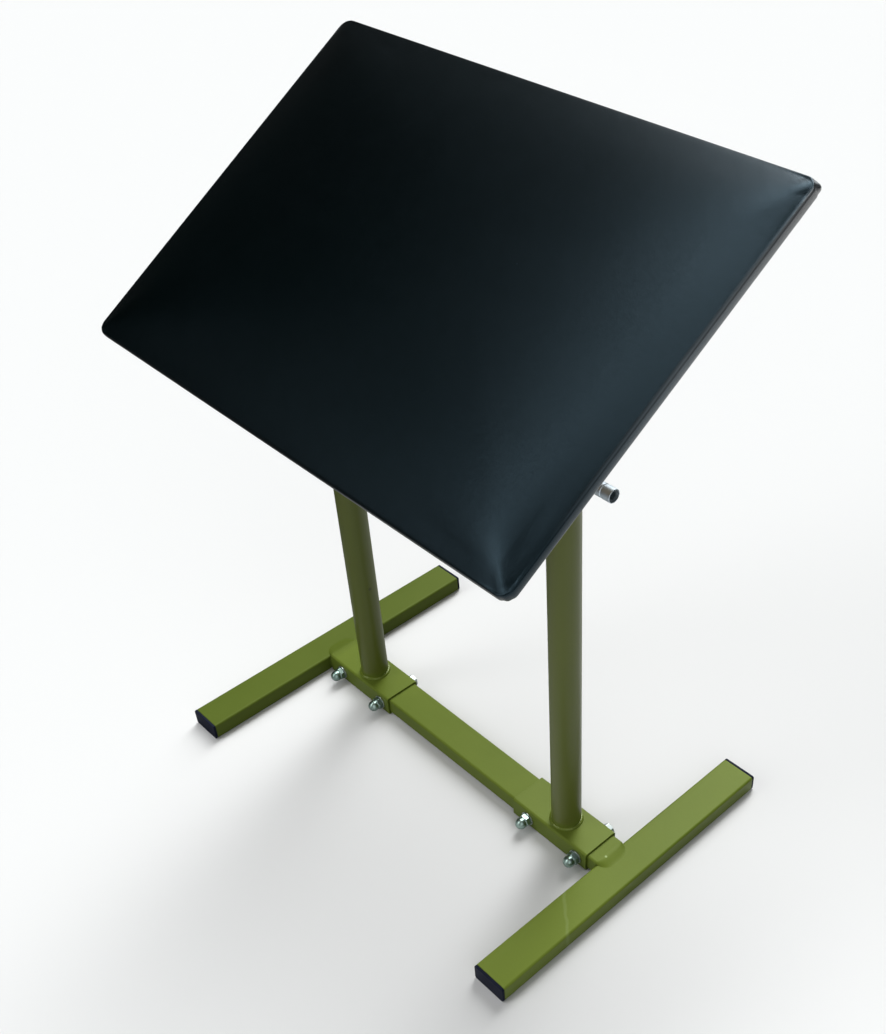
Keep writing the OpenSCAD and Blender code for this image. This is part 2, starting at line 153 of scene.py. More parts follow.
def enamel():
    s = Surface("green_enamel", specular=0.15, tint=(0.88, 1.0, 0.50))
    broad = s.noise(9, 4, 0.55)
    fine = s.noise(160, 3, 0.6)
    tone = s.ramp(broad, (0.30, (0.099, 0.138, 0.0162)), (0.55, (0.111, 0.152, 0.0188)), (0.80, (0.124, 0.165, 0.0230)))
    tone = s.mix(s.span(fine, 0.0, 0.10), tone, (0.155, 0.196, 0.038))
    # hairline rubs along the tubes, and a few pale knocks
    rub = s.noise(1, 5, 0.7, co=s.stretch(70, 900, 900))
    rub2 = s.noise(1, 5, 0.7, co=s.stretch(900, 70, 900))
    hair = s.ramp(s.calc("MAXIMUM", rub, rub2), (0.715, 0.0), (0.745, 1.0))
    worn = s.calc("MULTIPLY", hair, s.ramp(s.noise(14, 2), (0.50, 0.0), (0.62, 1.0)))
    tone = s.mix(s.calc("MULTIPLY", worn, 0.45), tone, (0.22, 0.26, 0.10))
    dust = s.ramp(s.cells(240), (0.0, 1.0), (0.045, 0.0))
    tone = s.mix(s.calc("MULTIPLY", dust, 0.25), tone, (0.05, 0.055, 0.02))
    away = s.put("ShaderNodeVectorMath", {0: s.co, 1: CHIP}, operation="DISTANCE").outputs["Value"]
    ragged = s.calc("ADD", away, s.calc("MULTIPLY", s.noise(500, 3), 0.0016))
    chip = s.ramp(s.calc("MULTIPLY", ragged, 100.0), (0.22, 1.0), (0.34, 0.0))
    tone = s.mix(s.calc("MULTIPLY", chip, 0.85), tone, (0.030, 0.030, 0.016))
    place = s.put("ShaderNodeSeparateXYZ", {"Vector": s.co}).outputs
    # the left foot is painted darker: painted shade where less light falls on it
    foot = s.step(s.calc("MULTIPLY", place[0], -1.0), 0.210, 0.226)
    tone = s.mix(s.calc("MULTIPLY", foot, 0.55), tone, (0.054, 0.077, 0.0105))
    # the near part of the right foot is painted lighter: painted light against the pad's shadow there
    right_foot_painted_light = s.calc("MULTIPLY", s.step(s.calc("MULTIPLY", place[1], -1.0), -0.02, 0.15), s.step(place[0], 0.200, 0.226))
    tone = s.mix(right_foot_painted_light, tone, (0.160, 0.216, 0.031))
    # a faint pale wavy line across the right foot, and a painted highlight on its stub
    line = s.calc("ADD", s.calc("MULTIPLY", s.calc("SUBTRACT", place[0], PALE_LINE[0]), PALE_LINE[2]),
                  s.calc("MULTIPLY", s.calc("SUBTRACT", place[1], PALE_LINE[1]), PALE_LINE[3]))
    line = s.calc("ABSOLUTE", s.calc("ADD", line, s.calc("MULTIPLY", s.calc("SUBTRACT", s.noise(60, 2), 0.5), 0.006)))
    pale_line = s.calc("MULTIPLY", s.calc("SUBTRACT", 1.0, s.step(line, 0.0007, 0.0024)), s.step(place[0], 0.200, 0.226))
    tone = s.mix(s.calc("MULTIPLY", pale_line, 0.28), tone, (0.26, 0.33, 0.13))
    # a painted highlight: a small pale spot on the stub's nose stands for a glint
    painted_glint = s.put("ShaderNodeVectorMath", {0: s.co, 1: GLINT_SPOT}, operation="DISTANCE").outputs["Value"]
    tone = s.mix(s.calc("SUBTRACT", 1.0, s.step(painted_glint, 0.0008, 0.0016)), tone, (0.36, 0.46, 0.20))
    post = s.step(place[2], 0.026, 0.036)
    bead = s.calc("MULTIPLY", s.step(place[2], 0.0254, 0.0262), s.calc("SUBTRACT", 1.0, s.step(place[2], 0.0282, 0.0292)))
    s.t.links.new(s.calc("ADD", s.span(post, 0.15, 0.34), s.calc("MULTIPLY", bead, 0.30)), s.s.inputs["Specular IOR Level"])
    s.t.links.new(s.mix(post, (0.88, 1.0, 0.50), (1.0, 1.0, 0.96)), s.s.inputs["Specular Tint"])
    # the posts' paint is darker; the left post is painted darker still than the right, a painted shade
    post_paint_left_shaded = s.mix(s.step(place[0], -0.05, 0.05), (0.064, 0.068, 0.011), (0.084, 0.088, 0.020))
    tone = s.mix(s.calc("MULTIPLY", post, 0.55), tone, post_paint_left_shaded)
    rough = s.span(s.calc("ADD", s.calc("MULTIPLY", broad, 0.7), s.calc("MULTIPLY", worn, 0.5)), 0.32, 0.52)
    rough = s.calc("SUBTRACT", rough, s.calc("MULTIPLY", bead, 0.20))
    peel = s.bump(s.noise(420, 2, 0.45), 0.22, 0.0003)
    normal = s.bump(s.calc("SUBTRACT", 1.0, worn), 0.25, 0.00015, peel)
    return s.finish(tone, rough, normal)


def plated(name, low, high, rough_lo, rough_hi, brushed):
    s = Surface(name, metallic=1.0)
    cloud = s.noise(35, 4, 0.6, warp=0.4)
    tone = s.ramp(cloud, (0.30, low), (0.70, high))
    lines = s.noise(1, 4, 0.7, co=s.stretch(260, 2600, 2600) if brushed else s.stretch(900, 900, 120))
    spots = s.ramp(s.cells(520), (0.0, 1.0), (0.05, 0.0))
    tone = s.mix(s.calc("MULTIPLY", spots, 0.35), tone, (0.20, 0.19, 0.17))
    rough = s.span(s.calc("ADD", s.calc("MULTIPLY", lines, 0.5), s.calc("MULTIPLY", cloud, 0.5)), rough_lo, rough_hi)
    normal = s.bump(lines, 0.12 if brushed else 0.05, 0.0001)
    return s.finish(tone, rough, normal)


def moulded(name, low, high, rough, specular=0.14):
    s = Surface(name, specular=specular)
    tone = s.ramp(s.noise(60, 4, 0.6), (0.30, low), (0.72, high))
    scuff = s.ramp(s.noise(1, 5, 0.75, co=s.stretch(300, 60, 300)), (0.66, 0.0), (0.74, 1.0))
    tone = s.mix(s.calc("MULTIPLY", scuff, 0.22), tone, (0.06, 0.06, 0.07))
    normal = s.bump(s.noise(1500, 2, 0.5), 0.30, 0.0002)
    return s.finish(tone, s.span(s.noise(180, 3), rough - 0.08, rough + 0.10), normal)


def leatherette():
    s = Surface("leatherette", specular=0.35, tint=(0.48, 0.77, 0.98))
    broad = s.noise(6, 3, 0.5)
    tone = s.ramp(broad, (0.30, (0.0001, 0.0010, 0.0010)), (0.70, (0.0003, 0.0016, 0.0016)))
    grain = s.cells(720, "SMOOTH_F1", smooth=0.35)
    pebble = s.cells(720, "DISTANCE_TO_EDGE")
    pores = s.ramp(s.cells(1450), (0.0, 0.0), (0.16, 1.0))
    crease = s.ramp(pebble, (0.0, 0.0), (0.10, 1.0))
    # the grain's creases are painted a little darker: painted shade
    tone = s.mix(s.calc("MULTIPLY", s.calc("SUBTRACT", 1.0, crease), 0.4), tone, (0.0002, 0.0009, 0.0010))
    rough = s.span(s.calc("ADD", s.calc("MULTIPLY", s.noise(40, 4, 0.6), 0.6), s.calc("MULTIPLY", grain, 0.4)), 0.20, 0.29)
    place = s.put("ShaderNodeSeparateXYZ", {"Vector": s.co}).outputs
    side = s.step(s.calc("ABSOLUTE", place[0]), 0.2744, 0.2760)
    back = s.step(place[1], -0.12, 0.15)
    # the ends' sides and rounded top edges are painted paler towards the back: a painted reflection
    side_painted_sheen = s.calc("MULTIPLY", s.step(s.calc("ABSOLUTE", place[0]), 0.2730, 0.2756), s.step(place[1], -0.13, 0.0))
    side_painted_sheen = s.calc("MULTIPLY", side_painted_sheen, s.span(s.noise(30, 3, 0.6), 0.75, 1.1))
    tone = s.mix(side_painted_sheen, tone, (0.050, 0.055, 0.059))
    s.t.links.new(s.calc("ADD", s.calc("MULTIPLY", side, back), 0.35), s.s.inputs["Specular IOR Level"])
    s.t.links.new(s.mix(s.calc("MULTIPLY", side, back), (0.48, 0.77, 0.98), (0.98, 0.96, 0.96)), s.s.inputs["Specular Tint"])
    n = s.bump(s.noise(95, 3, 0.55), 0.08, 0.0010)
    n = s.bump(crease, 0.20, 0.00018, n)
    n = s.bump(pores, 0.10, 0.0001, n)
    return s.finish(tone, rough, n)


def plywood():
    s = Surface("plywood", specular=0.35)
    rings = s.put("ShaderNodeTexWave", {"Vector": s.stretch(1.0, 7.0, 7.0), "Scale": 3.2, "Distortion": 9.0,
                                        "Detail": 4.0, "Detail Scale": 1.2, "Detail Roughness": 0.6},
                  wave_type="BANDS", bands_direction="Y").outputs["Fac"]
    fibre = s.noise(1, 6, 0.7, co=s.stretch(28, 1100, 1100))
    tone = s.ramp(rings, (0.0, (0.54, 0.37, 0.20)), (0.45, (0.62, 0.45, 0.26)), (1.0, (0.47, 0.31, 0.16)))
    tone = s.mix(s.span(fibre, 0.0, 0.45), tone, (0.36, 0.23, 0.11))
    pores = s.ramp(s.cells(1, co=s.stretch(120, 2400, 2400)), (0.0, 1.0), (0.10, 0.0))
    tone = s.mix(s.calc("MULTIPLY", pores, 0.5), tone, (0.20, 0.12, 0.06))
    normal = s.bump(s.calc("SUBTRACT", fibre, s.calc("MULTIPLY", pores, 0.5)), 0.35, 0.0004)
    return s.finish(tone, s.span(fibre, 0.55, 0.78), normal)


def rubber():
    s = Surface("liner_rubber", specular=0.3)
    tone = s.ramp(s.noise(90, 4, 0.6), (0.3, 0.012), (0.7, 0.028))
    return s.finish(tone, s.span(s.noise(200, 3), 0.62, 0.82), s.bump(s.noise(1200, 3, 0.6), 0.3, 0.0003))


MAT = {
    "green_enamel": enamel(),
    "plug_plastic": moulded("plug_plastic", (0.0068, 0.0088, 0.0205), (0.0122, 0.0150, 0.0300), 0.52, 0.05),
    "zinc_steel": plated("zinc_steel", (0.36, 0.42, 0.42), (0.52, 0.56, 0.54), 0.28, 0.44, True),
    "bright_steel": plated("bright_steel", (0.38, 0.43, 0.43), (0.50, 0.54, 0.53), 0.30, 0.42, False),
    "dome_nickel": plated("dome_nickel", (0.21, 0.31, 0.28), (0.33, 0.43, 0.39), 0.26, 0.38, False),
    "satin_steel": plated("satin_steel", (0.43, 0.49, 0.54), (0.54, 0.60, 0.64), 0.44, 0.56, False),
    "bush_plastic": moulded("bush_plastic", (0.012, 0.012, 0.013), (0.024, 0.024, 0.026), 0.44),
    # dark blue-grey for the lining of the screw sockets: painted shade for the shaded recess
    "socket_painted_shade": moulded("socket_painted_shade", (0.050, 0.068, 0.080), (0.075, 0.098, 0.112), 0.40, 0.30),
    "plywood": plywood(),
    "leatherette": leatherette(),
    "liner_rubber": rubber(),
}


# ---- mesh helpers ----------------------------------------------------------------

def piece(name, bm, slot, body, stands_for=(), matrix=None, bevel=0.0, segs=3, angle=32, subdiv=0, weighted=True,
          look=None):
    """A shown piece from a bmesh, in its own matrix, riding on a CAD body."""
    bmesh.ops.recalc_face_normals(bm, faces=bm.faces)
    me = bpy.data.meshes.new(name)
    bm.to_mesh(me)
    bm.free()
    for p in me.polygons:
        p.use_smooth = True
    ob = bpy.data.objects.new(name, me)
    scene.collection.objects.link(ob)
    me.materials.append(MAT[look or slot])
    if matrix is not None:
        me.transform(matrix)
    if bevel:
        b = ob.modifiers.new("edges", "BEVEL")
        b.width, b.segments, b.limit_method = bevel, segs, "ANGLE"
        b.angle_limit = math.radians(angle)
        b.use_clamp_overlap = False
        b.miter_outer = "MITER_ARC"
    if subdiv:
        sub = ob.modifiers.new("smooth", "SUBSURF")
        sub.levels = sub.render_levels = subdiv
    if weighted:
        w = ob.modifiers.new("normals", "WEIGHTED_NORMAL")
        w.keep_sharp = True
    bpy.context.view_layer.update()
    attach(ob, body)
    if stands_for:
        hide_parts(*stands_for)
    return ob


def node_bm(node):
    """The CAD node's surface with whole flat faces, ready for edge rounding."""
    bm = bmesh.new()
    bm.from_mesh(nodes[node].data)
    for layers in (bm.loops.layers.uv, bm.loops.layers.color, bm.loops.layers.float_color):
        for k in list(layers.keys()):
            layers.remove(layers[k])
    bmesh.ops.remove_doubles(bm, verts=bm.verts, dist=3e-6)
    bmesh.ops.dissolve_limit(bm, angle_limit=math.radians(0.5), verts=bm.verts, edges=bm.edges)
    return bm


def refined(node, bevel, segs=3, angle=32):
    bm = node_bm(node)
    for f in bm.faces:
        f.material_index = 0
    return piece(node + "_finished", bm, SLOT[node], BODY[node], (node,), bevel=bevel, segs=segs, angle=angle)


def loft(bm, rings, closed_ring=True, cap_ends=True, loop=False):
    """Joins equal rings of points with quads."""
    vs = [[bm.verts.new(p) for p in r] for r in rings]
    n = len(vs[0])
    pairs = list(zip(vs, vs[1:]))
    if loop:
        pairs.append((vs[-1], vs[0]))
    for a, b in pairs:
        for i in range(n if closed_ring else n - 1):
            j = (i + 1) % n
            bm.faces.new((a[i], a[j], b[j], b[i]))
    if cap_ends and not loop:
        bm.faces.new(vs[0])
        bm.faces.new(list(reversed(vs[-1])))
    return vs


def hex_r(theta, af):
    """Distance from the axis to a hexagon's side, across flats af."""
    t = (theta + math.pi / 6) % (math.pi / 3) - math.pi / 6
    return af / 2 / math.cos(t)


def spun(bm, profile, place, seg=72, cap=True):
    """Rings round a local Z axis. profile is [(radius or function of the angle, height or function)]."""
    rings = []
    for r, h in profile:
        ring = []
        for i in range(seg):
            t = 2 * math.pi * i / seg
            rr = r(t) if callable(r) else r
            hh = h(t) if callable(h) else h
            ring.append(place @ Vector((rr * math.cos(t), rr * math.sin(t), hh)))
        rings.append(ring)
    return loft(bm, rings, cap_ends=cap)


def hex_profile(af, h, top=True, bottom=False, bore=0.0):
    """Rings of a hexagon head or nut with 30 degree chamfers, closed round its bore if it has one."""
    r0 = af / 2 * 0.955
    drop = math.tan(math.radians(30))
    R = lambda t: hex_r(t, af)
    low = []
    if bore:
        low = [(bore, 0.0006), (bore + 0.0006, 0.0)]
    if bottom:
        low += [(r0, 0.0), (R, lambda t: (hex_r(t, af) - r0) * drop)]
    else:
        low += [(R, 0.0)]
    high = [(R, lambda t: h - (hex_r(t, af) - r0) * drop), (r0, h)] if top else [(R, h)]
    if bore:
        high += [(bore + 0.0006, h), (bore, h - 0.0006)]
    return low + high


def axis_frame(origin, z):
    """A matrix whose Z runs along z from origin."""
    q = Vector(z).normalized().to_track_quat("Z", "Y")
    return Matrix.Translation(origin) @ q.to_matrix().to_4x4()


def thread_r(major, pitch, depth):
    def r_at(t, h):
        f = (h / pitch - t / (2 * math.pi)) % 1.0
        return major - depth * (abs(2 * f - 1) ** 1.2)
    return r_at


def threaded(bm, place, major, pitch, z0, z1, seg=40, per=8, cap=True):
    """A rod with a real thread shape."""
    at = thread_r(major, pitch, pitch * 0.52)
    rows = max(2, int((z1 - z0) / pitch * per))
    rings = []
    for k in range(rows + 1):
        h = z0 + (z1 - z0) * k / rows
        lead = min(1.0, (k + 0.5) / per, (rows - k + 0.5) / per)
        ring = []
        for i in range(seg):
            t = 2 * math.pi * i / seg
            r = at(t, h)
            r = min(r, major - pitch * 0.52 * (1 - lead))
            ring.append(place @ Vector((r * math.cos(t), r * math.sin(t), h)))
        rings.append(ring)
    loft(bm, rings, cap_ends=cap)


def weld(bm, path, outs, radius, pitch=0.0034, closed=False, seg=14, seed=0.0):
    """A weld bead along path. outs point out of the corner that it fills; its ripples lie one on the next."""
    n = len(path)
    length = [0.0]
    for a, b in zip(path, path[1:] + ([path[0]] if closed else [])):
        length.append(length[-1] + (b - a).length)
    total = length[-1]
    if closed:
        pitch = total / max(1, round(total / pitch))
    rings = []
    for i, (p, o) in enumerate(zip(path, outs)):
        nxt = path[(i + 1) % n] if closed or i < n - 1 else path[i]
        prv = path[i - 1] if closed or i > 0 else path[i]
        along = (nxt - prv).normalized()
        o = (o - along * o.dot(along)).normalized()
        side = along.cross(o)
        s = length[i]
        end = 1.0 if closed else min(1.0, 0.35 + min(s, total - s) / (radius * 1.6))
        wob = 1 + 0.07 * noise.noise(Vector((s * 120, seed, 0.0)))
        ring = []
        for k in range(seg):
            a = 2 * math.pi * k / seg
            out, across = math.cos(a), math.sin(a)
            ph = ((s + radius * 0.75 * across * across) / pitch) % 1.0
            crest = 0.10 * (1 - ph) ** 0.6 - 0.05
            r = radius * end * wob * (1 + (crest if out > -0.2 else 0))
            ring.append(p + o * (out * r * (0.86 if out > 0 else 0.75)) + side * (across * r))
        rings.append(ring)
    loft(bm, rings, loop=closed)


# ---- base, posts and frame ----------------------------------------------------------

for n in ("left_foot_tube", "right_foot_tube", "left_foot_stub", "right_foot_stub", "crossbar",
          "left_sleeve", "right_sleeve"):
    refined(n, 0.35 * MM)
refined("foot_end_plugs", 0.7 * MM, segs=4)
for n in ("left_post", "right_post", "left_upright", "right_upright", "pivot_tube"):
    refined(n, 0.35 * MM)
for n in ("left_guide_bush", "right_guide_bush", "upright_glide_plugs"):
    refined(n, 0.35 * MM, angle=28)
refined("pivot_tube_plugs", 0.35 * MM)
refined("base_bolt_washers", 0.3 * MM, segs=2)
refined("strap_washers", 0.3 * MM, segs=2)
refined("strap_liners", 0.2 * MM, segs=2)
refined("pad_board", 0.5 * MM, segs=2)
refined("cover_staples", 0.22 * MM, segs=2)

# ring beads where the posts stand on the sleeves
bm = bmesh.new()
for s in (-1, 1):
    path, outs = [], []
    for i in range(240):
        a = 2 * math.pi * i / 240 + s
        d = Vector((math.cos(a), math.sin(a), 0))
        path.append(Vector((s * POST_X, 0, SL_TOP + 0.3 * MM)) + d * (POST_R + 0.3 * MM))
        outs.append(d + Vector((0, 0, 1)))
    weld(bm, path, outs, 2.3 * MM, closed=True, seed=s * 3.0)
piece("post_weld_beads_rippled", bm, "green_enamel", "base", ("post_weld_beads",))

# ground and painted fillets over the top of each stub, and beads down its sides, where it meets its foot
bm = bmesh.new()
for s in (-1, 1):
    y = 0.020
    for t in (-1, 1):
        path = [Vector((s * FOOT_SIDE, t * y, LIFT + 0.4 * MM + 14.0 * MM * i / 40)) for i in range(41)]
        path = [p + Vector((-s * 0.4, t * 0.4, 0)) * MM for p in path]
        weld(bm, path, [Vector((-s, t, 0))] * 41, 1.7 * MM, pitch=0.0028, seed=s + t * 2.0)
    rings = []
    for i in range(81):
        yy = -0.0197 + 0.0394 * i / 80
        over = max(0.0, abs(yy) / MM - (20 - TUBE_R))
        top = 3.02 - TUBE_R + math.sqrt(max(TUBE_R ** 2 - over ** 2, 0.0))
        reach = 1.8 + 14.0 * (1 - (abs(yy) / 0.0200) ** 4)
        wob = 0.08 * noise.noise(Vector((yy * 110, s * 4.0, 0)))
        section = [(-5.0, top - 1.4), (-4.8, top - 0.5), (-3.8, top - 0.12), (-2.4, top - 0.01)]
        for k in range(17):
            g = k / 16
            section.append((-1.2 + (reach + 1.2) * g, top * (1 - g * g * (3 - 2 * g)) - 0.07 * g + wob * math.sin(math.pi * g)))
        section += [(reach + 0.8, -0.25), (reach + 1.4, -0.7), (1.0, -0.9)]
        rings.append([Vector((s * (FOOT_SIDE + dx * MM), yy, TUBE_H + dz * MM)) for dx, dz in section])
    loft(bm, rings)
    path = [Vector((s * FOOT_SIDE - s * 0.5 * MM, -0.0165 + 0.033 * i / 70, LIFT - 0.3 * MM)) for i in range(71)]
    weld(bm, path, [Vector((-s, 0, -0.6))] * 71, 1.5 * MM, pitch=0.0030, seed=s * 9.0)
piece("stub_weld_beads_rippled", bm, "green_enamel", "base", ("stub_weld_beads",), weighted=False)

# beads between the uprights and the pivot tube
bm = bmesh.new()
for s in (-1, 1):
    for side in (-1, 1):
        path, outs = [], []
        for i in range(61):
            a = math.radians(-68 + 136 * i / 60)
            x, y = UP_R * math.cos(a), UP_R * math.sin(a)
            path.append(Vector((s * POST_X + side * (x + 0.3 * MM), y, PIVOT_Z - abs(x) - 0.3 * MM)))
            outs.append(Vector((side * math.cos(a), math.sin(a) * 0.6, -0.8)))
        weld(bm, path, outs, 2.2 * MM, pitch=0.0026, seed=s * 5.0 + side)
piece("upright_weld_beads_rippled", bm, "bright_steel", "upper_frame", ("upright_weld_beads",))

# cross bolts with chamfered heads
HEAD_Y = SL_HALF + 1.6 * MM
bm = bmesh.new()
BOLTS = (-0.1975, -0.1255, 0.1255, 0.1975)
for k, x in enumerate(BOLTS):
    head = axis_frame((x, HEAD_Y, BAR_Z), (0, 1, 0)) @ Matrix.Rotation(0.35 + k * 0.5, 4, "Z")
    spun(bm, hex_profile(0.013, 5.3 * MM), head)
    spun(bm, [(4 * MM, 0.0), (4 * MM, -(2 * SL_HALF + 3.2 * MM + 6 * MM))], head, seg=40)
    mark = head @ Matrix.Translation((0, 0, 5.3 * MM))
    spun(bm, [(4.4 * MM, -0.2 * MM), (4.4 * MM, 0.18 * MM), (4.0 * MM, 0.24 * MM), (3.7 * MM, 0.1 * MM), (3.6 * MM, -0.2 * MM)],
         mark, seg=48)
piece("base_bolts_finished", bm, "zinc_steel", "base", ("base_bolts",), bevel=0.25 * MM, segs=2, angle=40)

bm = bmesh.new()
for k, x in enumerate(BOLTS):
    place = axis_frame((x, -HEAD_Y, BAR_Z), (0, -1, 0)) @ Matrix.Rotation(0.1 + k * 0.7, 4, "Z")
    prof = hex_profile(0.013, 5.3 * MM, bottom=True)[:-1] + [(6.15 * MM, 5.5 * MM)]
    prof += [(6.4 * MM * math.cos(math.radians(a)), 8.5 * MM + 6.4 * MM * math.sin(math.radians(a))) for a in range(-24, 88, 6)]
    prof += [(0.15 * MM, 14.9 * MM)]
    spun(bm, prof, place)
piece("base_dome_nuts_finished", bm, "bright_steel", "base", ("base_dome_nuts",), bevel=0.2 * MM, segs=2, angle=40,
      look="dome_nickel")

# clamp bosses with the bead that joins them to the posts, lock nuts and screws
for s, side in ((-1, "left"), (1, "right")):
    bm = node_bm(side + "_clamp_boss")
    path, outs = [], []
    for i in range(150):
        a = 2 * math.pi * i / 150
        y, z = 9.5 * MM * math.cos(a), 9.5 * MM * math.sin(a)
        x = math.sqrt(POST_R ** 2 - y * y)
        path.append(Vector((s * (POST_X + x + 0.3 * MM), y * 1.03, CLAMP_Z + z * 1.03)))
        outs.append(Vector((s * 1.0, math.cos(a), math.sin(a))))
    weld(bm, path, outs, 1.7 * MM, pitch=0.0026, closed=True, seed=s * 4.0)
    piece(side + "_clamp_boss_finished", bm, "green_enamel", "base", (side + "_clamp_boss",), bevel=0.5 * MM, segs=3, angle=50)

bm = bmesh.new()
for s in (-1, 1):
    place = axis_frame((s * (POST_X + 0.030), 0, CLAMP_Z), (s, 0, 0)) @ Matrix.Rotation(0.2 + s * 0.3, 4, "Z")
    vs = spun(bm, hex_profile(0.013, 6.5 * MM, bottom=True, bore=4.06 * MM), place, cap=False)
    n = len(vs[0])
    for i in range(n):
        bm.faces.new((vs[-1][i], vs[-1][(i + 1) % n], vs[0][(i + 1) % n], vs[0][i]))
piece("clamp_lock_nuts_finished", bm, "zinc_steel", "base", ("clamp_lock_nuts",), bevel=0.2 * MM, segs=2, angle=40)

for s, side in ((-1, "left"), (1, "right")):
    bm = bmesh.new()
    place = axis_frame((s * POST_X, 0, CLAMP_Z), (s, 0, 0))
    spun(bm, [(1.5 * MM, 12.9 * MM), (3.0 * MM, 12.9 * MM), (3.4 * MM, 13.6 * MM), (3.4 * MM, 14.2 * MM)], place, seg=40)
    threaded(bm, place, 4.0 * MM, 1.25 * MM, 13.9 * MM, 39.6 * MM)
    piece(side + "_clamp_screw_thread", bm, "bright_steel", side + "_clamp_screw", look="satin_steel")
    bm = bmesh.new()
    sock = lambda t: hex_r(t, 7 * MM)
    prof = [(2.0 * MM, 39.5 * MM), (5.9 * MM, 39.5 * MM), (6.5 * MM, 40.1 * MM), (6.5 * MM, 46.9 * MM), (5.8 * MM, 47.4 * MM),
            (5.8 * MM, 48.2 * MM), (6.5 * MM, 48.7 * MM), (6.5 * MM, 57.3 * MM), (6.3 * MM, 57.8 * MM), (6.05 * MM, 58.0 * MM),
            (5.8 * MM, 57.8 * MM), (5.72 * MM, 57.2 * MM), (5.72 * MM, 50.8 * MM), (1.5 * MM, 50.6 * MM)]
    spun(bm, prof, place, seg=72)
    piece(side + "_clamp_screw_finished", bm, "bright_steel", side + "_clamp_screw", (side + "_clamp_screw",),
          bevel=0.18 * MM, segs=2, angle=38, look="satin_steel")
    # a dark lining in the screw's socket: painted shade for the shaded recess
    bm = bmesh.new()
    spun(bm, [(1.0 * MM, 50.9 * MM), (5.7 * MM, 50.9 * MM), (5.7 * MM, 56.5 * MM), (5.3 * MM, 56.8 * MM), (4.6 * MM, 56.6 * MM),
              (sock, 56.0 * MM), (sock, 51.7 * MM), (1.0 * MM, 51.5 * MM)], place, seg=72)
    piece(side + "_clamp_screw_socket_shade", bm, "bush_plastic", side + "_clamp_screw", bevel=0.12 * MM, segs=2, angle=38,
          look="socket_painted_shade")

# strap clips bent from strip, with their bolts and nuts, in the pad's own axes
def strip_path():
    r, ear, n_ear = 14.81 * MM, 44 * MM, BOARD_N - 1.25 * MM
    f = 3.2 * MM
    half = [(ear, n_ear), (r + f + 10 * MM, n_ear), (r + f, n_ear)]
    half += [(r + f - f * math.sin(math.radians(a)), n_ear - f + f * math.cos(math.radians(a))) for a in range(15, 91, 15)]
    half += [(r, 4 * MM), (r, 0.0)]
    half += [(r * math.cos(math.radians(a)), -r * math.sin(math.radians(a))) for a in range(7, 91, 7)]
    half += [(0.0, -r)]
    return [Vector((0, y, z)) for y, z in half] + [Vector((0, -y, z)) for y, z in reversed(half[:-1])]


for s, side in ((-1, "left"), (1, "right")):
    bm = bmesh.new()
    mid = strip_path()
    rings = []
    for i, p in enumerate(mid):
        a, b = mid[max(0, i - 1)], mid[min(len(mid) - 1, i + 1)]
        along = (b - a).normalized()
        nrm = Vector((0, -along.z, along.y))
        h, w = 1.25 * MM, 15 * MM
        cut = w - (3 * MM if i in (0, len(mid) - 1) else 0)
        rings.append([p + nrm * h + Vector((-cut, 0, 0)), p + nrm * h + Vector((cut, 0, 0)),
                      p - nrm * h + Vector((cut, 0, 0)), p - nrm * h + Vector((-cut, 0, 0))])
    first, last = rings[0], rings[-1]
    rings.insert(1, [q + (Vector((math.copysign(3 * MM, q.x), -3 * MM, 0))) for q in first])
    rings.insert(-1, [q + (Vector((math.copysign(3 * MM, q.x), 3 * MM, 0))) for q in last])
    loft(bm, rings)
    piece(side + "_pad_strap_bent", bm, "zinc_steel", "pad", (side + "_pad_strap",),
          matrix=PAD @ Matrix.Translation((s * 95 * MM, 0, 0)), bevel=0.35 * MM, segs=3, angle=50)

bm_b, bm_n, bm_t = bmesh.new(), bmesh.new(), bmesh.new()
for s in (-1, 1):
    for t in (-1, 1):
        at = Vector((s * 95 * MM, t * 32 * MM, 0))
        low = BOARD_N - (2.5 + 1.6) * MM
        up = Matrix.Translation(at)
        spun(bm_b, [(8 * MM, BOARD_N + 5.0 * MM), (8 * MM, BOARD_N + 6.2 * MM), (6.8 * MM, BOARD_N + 7.4 * MM),
                    (4.0 * MM, BOARD_N + 7.9 * MM), (1.0 * MM, BOARD_N + 8.0 * MM)], up, seg=40)
        spun(bm_b, [(3 * MM, low - 5.0 * MM), (3 * MM, BOARD_N + 5.4 * MM)], up, seg=40)
        threaded(bm_t, up, 3.0 * MM, 1.0 * MM, low - 8.0 * MM, low - 4.8 * MM)
        down = axis_frame(at + Vector((0, 0, low)), (0, 0, -1)) @ Matrix.Rotation(0.3 * s + 0.5 * t, 4, "Z")
        vs = spun(bm_n, [(3.05 * MM, 0.4 * MM), (3.5 * MM, 0.0)] + hex_profile(0.010, 5.0 * MM, bottom=True)[:-1]
                  + [(4.7 * MM, 5.0 * MM), (4.6 * MM, 6.2 * MM), (4.2 * MM, 6.6 * MM), (3.4 * MM, 6.6 * MM), (3.05 * MM, 6.3 * MM)],
                  down, cap=False)
        n = len(vs[0])
        for i in range(n):
            bm_n.faces.new((vs[-1][i], vs[-1][(i + 1) % n], vs[0][(i + 1) % n], vs[0][i]))
piece("strap_bolts_finished", bm_b, "zinc_steel", "pad", ("strap_bolts",), matrix=PAD, bevel=0.15 * MM, segs=2, angle=45)
piece("strap_bolt_threads", bm_t, "zinc_steel", "pad", matrix=PAD)
piece("strap_nuts_finished", bm_n, "zinc_steel", "pad", ("strap_nuts",), matrix=PAD, bevel=0.15 * MM, segs=2, angle=45)


# ---- padded board ---------------------------------------------------------------------

HX, HY, RC = 277 * MM, 190 * MM, 11 * MM       # outer half sizes and corner radius
SH = 2.6 * MM                                   # rounding of the top edge
LOW = BOARD_N - 1.0 * MM                        # outer face of the hem
TOP_EDGE = 22.4 * MM
RISE = 20.0 * MM
HEM = 34 * MM
FOLD = 2.6 * MM                                 # depth of the folded corner


